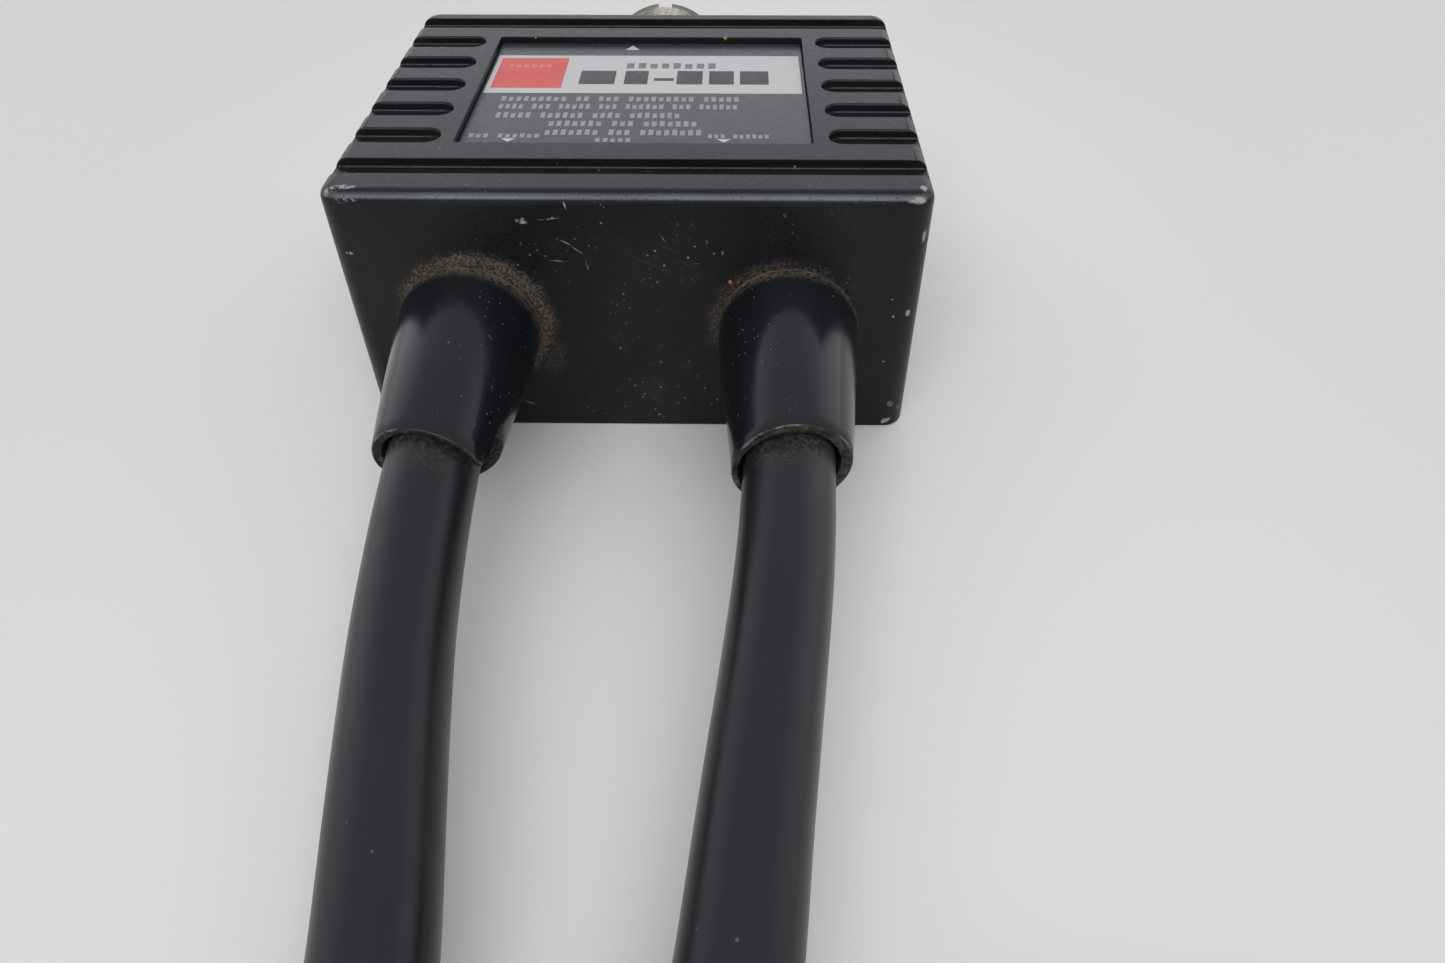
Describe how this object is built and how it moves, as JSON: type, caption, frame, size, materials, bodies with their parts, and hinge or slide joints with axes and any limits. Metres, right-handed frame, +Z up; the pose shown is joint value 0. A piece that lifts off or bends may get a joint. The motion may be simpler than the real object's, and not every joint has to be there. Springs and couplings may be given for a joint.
{
  "type": "rf duplexer",
  "caption": "Palm-sized black die-cast box with cooling grooves and a rating label, two coaxial leads with tapered boots and screw plugs in front, and a coaxial antenna socket behind.",
  "frame": {"origin": "middle of the bottom plate's underside, on the surface the case lies on", "axes": "+Z up out of the label, +Y out of the antenna socket, leads leave towards -Y, +X to the right seen from the leads"},
  "size_m": [0.1084, 0.2487, 0.026],
  "materials": {
    "satin_black_paint": "satin black paint on die-cast metal, scuffed at the edges",
    "printed_label": "dark grey printed foil with a white band",
    "glossy_black_vinyl": "glossy moulded vinyl with rough cut ends",
    "satin_black_jacket": "satin extruded vinyl jacket",
    "nickel_plating": "nickel plating, lightly dulled",
    "zinc_plated_steel": "zinc plating",
    "silvered_brass": "silvered contact surface",
    "white_insulator": "milky insulator",
    "brown_phenolic": "brown phenolic resin",
    "enamelled_copper": "enamelled copper wire",
    "ceramic_tan": "tan ceramic dip",
    "board_laminate": "amber paper laminate"
  },
  "bodies": {
    "housing": {"antenna_wire": "enamelled_copper", "board_screw_left": "zinc_plated_steel", "board_screw_right": "zinc_plated_steel", "boot_left": "glossy_black_vinyl", "boot_right": "glossy_black_vinyl", "bottom_plate": "satin_black_paint", "cable_clamp_left": "zinc_plated_steel", "cable_clamp_right": "zinc_plated_steel", "cable_left": "satin_black_jacket", "cable_right": "satin_black_jacket", "case_body": "satin_black_paint", "circuit_board": "board_laminate", "core_wire_left": "enamelled_copper", "core_wire_right": "enamelled_copper", "cover_screw_1": "zinc_plated_steel", "cover_screw_2": "zinc_plated_steel", "cover_screw_3": "zinc_plated_steel", "cover_screw_4": "zinc_plated_steel", "dielectric_left": "white_insulator", "dielectric_right": "white_insulator", "high_pass_capacitor_1": "ceramic_tan", "high_pass_capacitor_2": "ceramic_tan", "high_pass_capacitor_3": "ceramic_tan", "high_pass_coil_1": "enamelled_copper", "high_pass_coil_2": "enamelled_copper", "label_plate": "printed_label", "low_pass_capacitor_1": "ceramic_tan", "low_pass_capacitor_2": "ceramic_tan", "low_pass_coil_1": "enamelled_copper", "low_pass_coil_2": "enamelled_copper", "low_pass_coil_3": "enamelled_copper", "plug_body_left": "nickel_plating", "plug_body_right": "nickel_plating", "plug_insulator_left": "brown_phenolic", "plug_insulator_right": "brown_phenolic", "plug_pin_left": "silvered_brass", "plug_pin_right": "silvered_brass", "shield_partition": "zinc_plated_steel", "socket_contact": "silvered_brass", "socket_insulator": "white_insulator", "socket_screw_1": "zinc_plated_steel", "socket_screw_2": "zinc_plated_steel", "socket_screw_3": "zinc_plated_steel", "socket_screw_4": "zinc_plated_steel", "socket_shell": "nickel_plating"},
    "coupling_ring_left": {"plug_ring_left": "nickel_plating"},
    "coupling_ring_right": {"plug_ring_right": "nickel_plating"}
  },
  "joints": [
    {"name": "coupling_ring_left_turn", "type": "hinge", "parent": "housing", "child": "coupling_ring_left", "pos_m": [0.051, -0.13748, 0.00935], "axis": [0, 1, 0], "continuous": true},
    {"name": "coupling_ring_right_turn", "type": "hinge", "parent": "housing", "child": "coupling_ring_right", "pos_m": [0.035, -0.11597, 0.00935], "axis": [0, 1, 0], "continuous": true}
  ]
}
